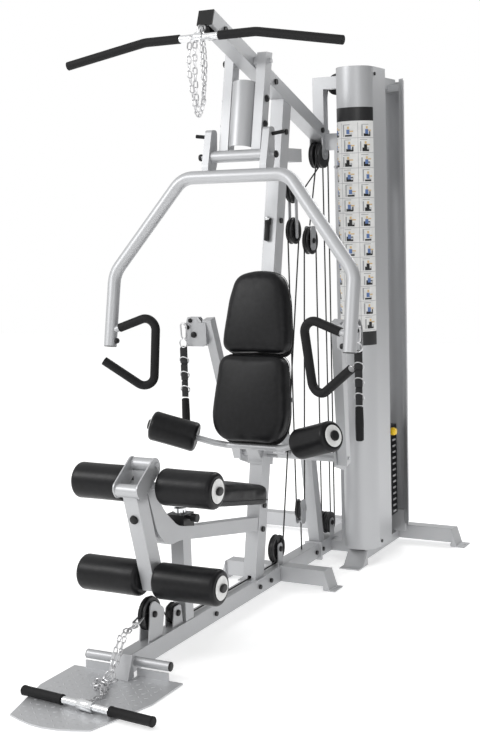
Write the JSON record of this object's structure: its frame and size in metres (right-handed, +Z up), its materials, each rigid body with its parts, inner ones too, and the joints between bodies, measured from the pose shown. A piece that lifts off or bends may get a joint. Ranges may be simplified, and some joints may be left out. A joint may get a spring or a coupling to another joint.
{
  "type": "multi station home gym",
  "caption": "Multi station home gym: shrouded weight tower, press arm, lat bar, leg developer, padded seat and back, low row plate and swinging cable arms.",
  "frame": {"origin": "on the floor at the middle of the machine's length and width", "axes": "+X to the user's left-hand tower side, +Y from the foot plate to the weight tower, +Z up"},
  "size_m": [1.1216, 2.4548, 2.2318],
  "materials": {
    "silver_paint": "satin metallic silver powder coat",
    "shroud_silver": "satin metallic silver sheet",
    "tread_plate": "raised tread pattern, silver",
    "black_plastic": "moulded black plastic",
    "pulley_plastic": "moulded black nylon",
    "black_vinyl": "grained black vinyl",
    "foam_vinyl": "black vinyl over foam",
    "chrome": "polished",
    "zinc_chain": "zinc plated",
    "grip_foam": "black foam rubber grip",
    "cast_weights": "black painted iron",
    "cable_black": "black nylon coated cable",
    "yellow_knob": "moulded yellow",
    "webbing": "black woven webbing",
    "bracket_steel": "silver brackets and plates"
  },
  "bodies": {
    "frame": {"base_beam": "silver_paint", "base_rear_beam": "silver_paint", "foot_plate": "tread_plate", "mid_stabilizer": "silver_paint", "rear_stabilizer": "silver_paint", "tower_base": "silver_paint", "upright": "silver_paint", "boom": "silver_paint", "gooseneck": "silver_paint", "rear_upright": "silver_paint", "tower_top_beam": "silver_paint", "rear_post": "silver_paint", "seat_frame": "silver_paint", "guide_rods": "chrome", "weight_plates": "cast_weights", "front_shroud": "shroud_silver", "rear_shroud": "shroud_silver", "bolt_caps": "black_plastic", "pulley_brackets": "bracket_steel", "back_pad_upper": "black_vinyl", "back_pad_lower": "black_vinyl", "cables": "cable_black", "stack_cable": "cable_black", "guide_pulleys": "pulley_plastic", "low_chain": "zinc_chain"},
    "roller_bar": {"roller_bar": "silver_paint"},
    "bar_roller_left": {"bar_roller_left": "foam_vinyl"},
    "bar_roller_right": {"bar_roller_right": "foam_vinyl"},
    "press_yoke": {"press_yoke": "silver_paint", "press_guard": "silver_paint"},
    "press_arm": {"press_arm": "silver_paint", "press_grips": "grip_foam"},
    "lat_bar": {"lat_bar": "chrome", "lat_grips": "grip_foam", "lat_chain": "zinc_chain"},
    "low_bar": {"low_bar": "chrome"},
    "leg_developer": {"leg_arm": "silver_paint"},
    "lower_rollers": {"lower_rollers": "foam_vinyl"},
    "upper_rollers": {"upper_rollers": "foam_vinyl"},
    "seat": {"seat_post": "chrome", "seat_cushion": "black_vinyl"},
    "seat_knob": {"seat_knob": "black_plastic"},
    "stack_top": {"stack_top": "cast_weights"},
    "selector_pin": {"selector_pin": "yellow_knob"},
    "arm_left": {"arm_left": "silver_paint"},
    "arm_right": {"arm_right": "silver_paint"},
    "handle_left": {"handle_left": "webbing"},
    "handle_right": {"handle_right": "webbing"},
    "arm_pulley_left": {"arm_pulley_left": "pulley_plastic"},
    "arm_pulley_right": {"arm_pulley_right": "pulley_plastic"},
    "front_pulley": {"front_pulley": "pulley_plastic"},
    "base_pulley": {"base_pulley": "pulley_plastic"},
    "swivel_pulley": {"swivel_pulley": "pulley_plastic"},
    "floating_pulley": {"floating_pulley": "pulley_plastic"},
    "strap_pulley_lower": {"strap_pulley_lower": "pulley_plastic"},
    "strap_pulley_upper": {"strap_pulley_upper": "pulley_plastic"},
    "lat_pulley": {"lat_pulley": "pulley_plastic"},
    "gooseneck_pulley": {"gooseneck_pulley": "pulley_plastic"},
    "tower_pulley": {"tower_pulley": "pulley_plastic"},
    "boom_pulleys": {"boom_pulleys": "pulley_plastic"}
  },
  "joints": [
    {"name": "roller_bar_height", "type": "slide", "parent": "frame", "child": "roller_bar", "axis": [0, 0.191, 0.9816], "range_m": [-0.1, 0]},
    {"name": "bar_roller_left_spin", "type": "hinge", "parent": "roller_bar", "child": "bar_roller_left", "pos_m": [-0.398, 0.072, 0.688], "axis": [0.9027, 0.3262, -0.2807], "continuous": true},
    {"name": "bar_roller_right_spin", "type": "hinge", "parent": "roller_bar", "child": "bar_roller_right", "pos_m": [0.398, 0.072, 0.688], "axis": [-0.9027, 0.3262, -0.2807], "continuous": true},
    {"name": "press_yoke_swing", "type": "hinge", "parent": "frame", "child": "press_yoke", "pos_m": [0, 0.243, 2.076], "axis": [-1, 0, 0], "range_deg": [0, 35]},
    {"name": "press_arm_start", "type": "hinge", "parent": "press_yoke", "child": "press_arm", "pos_m": [0, 0.135, 1.724], "axis": [-1, 0, 0], "range_deg": [-6, 15]},
    {"name": "lat_bar_turn", "type": "hinge", "parent": "frame", "child": "lat_bar", "pos_m": [0, -0.128, 2.131], "axis": [0, 0, 1], "range_deg": [-20, 20]},
    {"name": "low_bar_spin", "type": "hinge", "parent": "frame", "child": "low_bar", "pos_m": [-0.2, -1.052, 0.025], "axis": [0.995, -0.1003, 0], "continuous": true},
    {"name": "leg_developer_swing", "type": "hinge", "parent": "frame", "child": "leg_developer", "pos_m": [0, -0.6, 0.685], "axis": [-1, 0, 0], "range_deg": [0, 80]},
    {"name": "lower_rollers_spin", "type": "hinge", "parent": "leg_developer", "child": "lower_rollers", "pos_m": [0, -0.59, 0.283], "axis": [1, 0, 0], "continuous": true},
    {"name": "upper_rollers_spin", "type": "hinge", "parent": "frame", "child": "upper_rollers", "pos_m": [0, -0.593, 0.612], "axis": [1, 0, 0], "continuous": true},
    {"name": "seat_height", "type": "slide", "parent": "frame", "child": "seat", "axis": [0, 0, 1], "range_m": [0, 0.08]},
    {"name": "seat_knob_pull", "type": "slide", "parent": "frame", "child": "seat_knob", "axis": [1, 0, 0], "range_m": [0, 0.01], "stiffness_N_per_m": 400},
    {"name": "stack_lift", "type": "slide", "parent": "frame", "child": "stack_top", "axis": [0, 0, 1], "range_m": [0, 0.9], "deforming": ["stack_cable"]},
    {"name": "selector_pin_pull", "type": "slide", "parent": "stack_top", "child": "selector_pin", "axis": [1, 0, 0], "range_m": [0, 0.08]},
    {"name": "arm_left_swing", "type": "hinge", "parent": "frame", "child": "arm_left", "pos_m": [-0.243, 0.515, 0.509], "axis": [-1, 0, 0], "range_deg": [-15, 12]},
    {"name": "handle_left_hang", "type": "hinge", "parent": "arm_left", "child": "handle_left", "pos_m": [-0.385, 0.336, 1.062], "axis": [0, 1, 0], "range_deg": [-20, 20]},
    {"name": "arm_pulley_left_spin", "type": "hinge", "parent": "arm_left", "child": "arm_pulley_left", "pos_m": [-0.349, 0.372, 1.019], "axis": [0, 1, 0], "continuous": true},
    {"name": "arm_right_swing", "type": "hinge", "parent": "frame", "child": "arm_right", "pos_m": [0.243, 0.515, 0.509], "axis": [-1, 0, 0], "range_deg": [-15, 12]},
    {"name": "handle_right_hang", "type": "hinge", "parent": "arm_right", "child": "handle_right", "pos_m": [0.385, 0.336, 1.062], "axis": [0, 1, 0], "range_deg": [-20, 20]},
    {"name": "arm_pulley_right_spin", "type": "hinge", "parent": "arm_right", "child": "arm_pulley_right", "pos_m": [0.349, 0.372, 1.019], "axis": [0, 1, 0], "continuous": true},
    {"name": "front_pulley_spin", "type": "hinge", "parent": "frame", "child": "front_pulley", "pos_m": [0, -0.61, 0.168], "axis": [1, 0, 0], "continuous": true},
    {"name": "base_pulley_spin", "type": "hinge", "parent": "frame", "child": "base_pulley", "pos_m": [0, -0.455, 0.125], "axis": [1, 0, 0], "continuous": true},
    {"name": "swivel_pulley_spin", "type": "hinge", "parent": "frame", "child": "swivel_pulley", "pos_m": [0, 0.363, 0.146], "axis": [1, 0, 0], "continuous": true},
    {"name": "floating_pulley_spin", "type": "hinge", "parent": "frame", "child": "floating_pulley", "pos_m": [0, 0.76, 1.385], "axis": [1, 0, 0], "continuous": true},
    {"name": "strap_pulley_lower_spin", "type": "hinge", "parent": "frame", "child": "strap_pulley_lower", "pos_m": [0, 0.6, 1.43], "axis": [1, 0, 0], "continuous": true},
    {"name": "strap_pulley_upper_spin", "type": "hinge", "parent": "frame", "child": "strap_pulley_upper", "pos_m": [0, 0.6, 1.6], "axis": [1, 0, 0], "continuous": true},
    {"name": "lat_pulley_spin", "type": "hinge", "parent": "frame", "child": "lat_pulley", "pos_m": [0, -0.04, 2.17], "axis": [1, 0, 0], "continuous": true},
    {"name": "gooseneck_pulley_spin", "type": "hinge", "parent": "frame", "child": "gooseneck_pulley", "pos_m": [0.045, 0.977, 2.044], "axis": [0, 1, 0], "continuous": true},
    {"name": "tower_pulley_spin", "type": "hinge", "parent": "frame", "child": "tower_pulley", "pos_m": [0.155, 0.977, 2.044], "axis": [0, 1, 0], "continuous": true},
    {"name": "boom_pulleys_spin", "type": "hinge", "parent": "frame", "child": "boom_pulleys", "pos_m": [0, 0.87, 1.745], "axis": [1, 0, 0], "continuous": true}
  ]
}
